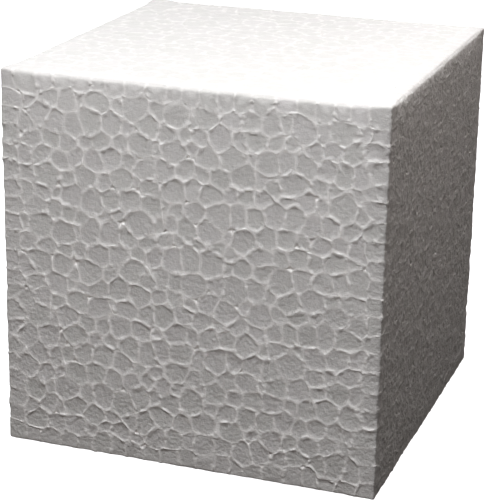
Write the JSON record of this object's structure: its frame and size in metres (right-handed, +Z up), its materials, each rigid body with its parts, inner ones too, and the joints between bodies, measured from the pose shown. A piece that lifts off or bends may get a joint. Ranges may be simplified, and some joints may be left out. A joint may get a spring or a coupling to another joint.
{
  "type": "polystyrene foam cube",
  "caption": "White cube of expanded polystyrene bead foam for dry and silk flower work, hot-wire cut on all six faces.",
  "frame": {"origin": "centre of the base, on the plane the cube stands on", "axes": "+Z up, -Y out of the front face, +X to the right as the front is seen"},
  "size_m": [0.1, 0.1, 0.1],
  "materials": {
    "cut_foam": "matte",
    "inner_foam": "matte"
  },
  "bodies": {
    "root": {"core": "inner_foam", "front_face_beads": "cut_foam", "back_face_beads": "cut_foam", "left_face_beads": "cut_foam", "right_face_beads": "cut_foam", "top_face_beads": "cut_foam", "bottom_face_beads": "cut_foam", "edge_beads": "cut_foam", "corner_beads": "cut_foam"}
  },
  "joints": []
}
